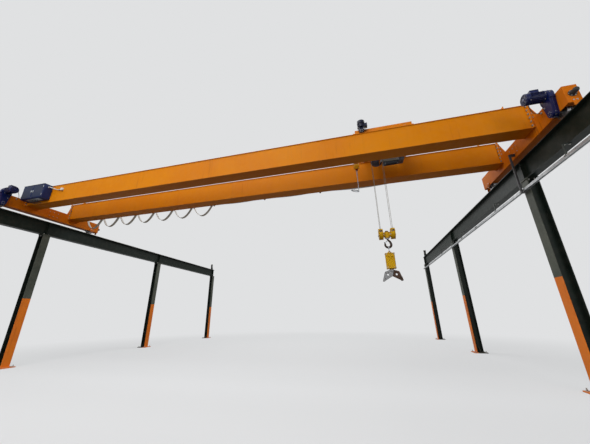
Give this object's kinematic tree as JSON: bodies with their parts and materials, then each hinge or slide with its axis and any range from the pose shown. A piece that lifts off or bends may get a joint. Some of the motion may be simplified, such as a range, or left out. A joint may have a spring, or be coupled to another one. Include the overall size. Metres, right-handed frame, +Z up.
{
  "type": "overhead bridge crane",
  "caption": "Double-girder overhead travelling crane on a raised steel runway, with a rope hoist trolley, hook block and a lifting clamp on the hook.",
  "frame": {"origin": "centre of the runway's footprint on the floor", "axes": "+X along the bridge girders, +Y along the runway, +Z up"},
  "size_m": [16.46, 18.46, 6.4853],
  "materials": {
    "runway_paint": "satin dark green-black paint",
    "rail_steel": "worn bright on top",
    "conductor_cover": "satin",
    "girder_paint": "satin yellow-orange paint",
    "rubber": "matte",
    "drive_paint": "satin navy paint",
    "cabinet_paint": "satin blue paint",
    "wheel_steel": "treads worn bright",
    "carrier_plastic": "matte",
    "cable_jacket": "matte pale grey",
    "collector_plastic": "matte",
    "rope_steel": "greased",
    "block_paint": "satin yellow paint",
    "hook_steel": "forged, dark",
    "jaw_metal": "satin",
    "jaw_rust": "rusty brown plate",
    "switch_paint": "satin red paint"
  },
  "bodies": {
    "runway": {"column_left_1": "runway_paint", "column_left_2": "runway_paint", "column_left_3": "runway_paint", "column_left_4": "runway_paint", "column_right_1": "runway_paint", "column_right_2": "runway_paint", "column_right_3": "runway_paint", "column_right_4": "runway_paint", "runway_beam_left": "runway_paint", "runway_beam_right": "runway_paint", "rail_left": "rail_steel", "rail_right": "rail_steel", "runway_stops": "runway_paint", "conductor_rail": "conductor_cover"},
    "bridge": {"girder_near": "girder_paint", "girder_far": "girder_paint", "carriage_left": "girder_paint", "carriage_right": "girder_paint", "bridge_buffers": "rubber", "travel_drive_left": "drive_paint", "travel_drive_right": "drive_paint", "trolley_rail_near": "rail_steel", "trolley_rail_far": "rail_steel", "trolley_stops": "girder_paint", "festoon_track": "rail_steel", "festoon_carriers": "carrier_plastic", "festoon_cable": "cable_jacket", "control_cabinet": "cabinet_paint", "current_collector": "collector_plastic"},
    "trolley": {"trolley_frame": "girder_paint", "trolley_drive": "drive_paint", "hoist_gearbox": "drive_paint", "hoist_motor": "drive_paint", "top_sheave": "girder_paint", "tow_arm": "girder_paint", "limit_arm": "girder_paint", "limit_switch": "switch_paint", "limit_ring": "wheel_steel", "hoist_ropes": "rope_steel"},
    "drum": {"hoist_drum": "wheel_steel"},
    "block": {"hook_block": "block_paint"},
    "block_sheave_left": {"sheave_left": "wheel_steel"},
    "block_sheave_right": {"sheave_right": "wheel_steel"},
    "hook": {"hook": "hook_steel", "clamp_link": "wheel_steel", "clamp_body": "block_paint", "jaw_left": "jaw_metal", "jaw_right": "jaw_rust"},
    "wheel_left_near": {"wheel_left_near": "wheel_steel"},
    "wheel_left_far": {"wheel_left_far": "wheel_steel"},
    "wheel_right_near": {"wheel_right_near": "wheel_steel"},
    "wheel_right_far": {"wheel_right_far": "wheel_steel"},
    "trolley_wheel_1": {"trolley_wheel_1": "wheel_steel"},
    "trolley_wheel_2": {"trolley_wheel_2": "wheel_steel"},
    "trolley_wheel_3": {"trolley_wheel_3": "wheel_steel"},
    "trolley_wheel_4": {"trolley_wheel_4": "wheel_steel"}
  },
  "joints": [
    {"name": "bridge_travel", "type": "slide", "parent": "runway", "child": "bridge", "axis": [0, 1, 0], "range_m": [-3.65, 9.65]},
    {"name": "trolley_travel", "type": "slide", "parent": "bridge", "child": "trolley", "axis": [1, 0, 0], "range_m": [-11.1, 1.8], "deforming": ["festoon_cable", "festoon_carriers"]},
    {"name": "hoist", "type": "slide", "parent": "trolley", "child": "block", "axis": [0, 0, 1], "range_m": [-2.1, 1.9], "deforming": ["hoist_ropes"]},
    {"name": "hook_swivel", "type": "hinge", "parent": "block", "child": "hook", "pos_m": [4.515, -3, 3.48], "axis": [0, 0, 1], "continuous": true},
    {"name": "drum_turn", "type": "hinge", "parent": "trolley", "child": "drum", "pos_m": [4.9, -3.02, 5.76], "axis": [1, 0, 0], "continuous": true},
    {"name": "sheave_left_turn", "type": "hinge", "parent": "block", "child": "block_sheave_left", "pos_m": [4.365, -3, 3.48], "axis": [1, 0, 0], "continuous": true},
    {"name": "sheave_right_turn", "type": "hinge", "parent": "block", "child": "block_sheave_right", "pos_m": [4.665, -3, 3.48], "axis": [1, 0, 0], "continuous": true},
    {"name": "wheel_left_near_roll", "type": "hinge", "parent": "bridge", "child": "wheel_left_near", "pos_m": [-8, -4.6, 5.2353], "axis": [1, 0, 0], "continuous": true},
    {"name": "wheel_left_far_roll", "type": "hinge", "parent": "bridge", "child": "wheel_left_far", "pos_m": [-8, -1.4, 5.2353], "axis": [1, 0, 0], "continuous": true},
    {"name": "wheel_right_near_roll", "type": "hinge", "parent": "bridge", "child": "wheel_right_near", "pos_m": [8, -4.6, 5.2353], "axis": [1, 0, 0], "continuous": true},
    {"name": "wheel_right_far_roll", "type": "hinge", "parent": "bridge", "child": "wheel_right_far", "pos_m": [8, -1.4, 5.2353], "axis": [1, 0, 0], "continuous": true},
    {"name": "trolley_wheel_1_roll", "type": "hinge", "parent": "trolley", "child": "trolley_wheel_1", "pos_m": [4.15, -3.75, 6.1553], "axis": [0, 1, 0], "continuous": true},
    {"name": "trolley_wheel_2_roll", "type": "hinge", "parent": "trolley", "child": "trolley_wheel_2", "pos_m": [5.25, -3.75, 6.1553], "axis": [0, 1, 0], "continuous": true},
    {"name": "trolley_wheel_3_roll", "type": "hinge", "parent": "trolley", "child": "trolley_wheel_3", "pos_m": [4.15, -2.25, 6.1553], "axis": [0, 1, 0], "continuous": true},
    {"name": "trolley_wheel_4_roll", "type": "hinge", "parent": "trolley", "child": "trolley_wheel_4", "pos_m": [5.25, -2.25, 6.1553], "axis": [0, 1, 0], "continuous": true}
  ],
  "couplings": [
    {"joint": "drum_turn", "follows": "hoist", "rad_per_m": -40},
    {"joint": "sheave_left_turn", "follows": "hoist", "rad_per_m": 8.3333},
    {"joint": "sheave_right_turn", "follows": "hoist", "rad_per_m": -25},
    {"joint": "wheel_left_near_roll", "follows": "bridge_travel", "rad_per_m": -8},
    {"joint": "wheel_left_far_roll", "follows": "bridge_travel", "rad_per_m": -8},
    {"joint": "wheel_right_near_roll", "follows": "bridge_travel", "rad_per_m": -8},
    {"joint": "wheel_right_far_roll", "follows": "bridge_travel", "rad_per_m": -8},
    {"joint": "trolley_wheel_1_roll", "follows": "trolley_travel", "rad_per_m": 13.333},
    {"joint": "trolley_wheel_2_roll", "follows": "trolley_travel", "rad_per_m": 13.333},
    {"joint": "trolley_wheel_3_roll", "follows": "trolley_travel", "rad_per_m": 13.333},
    {"joint": "trolley_wheel_4_roll", "follows": "trolley_travel", "rad_per_m": 13.333}
  ]
}
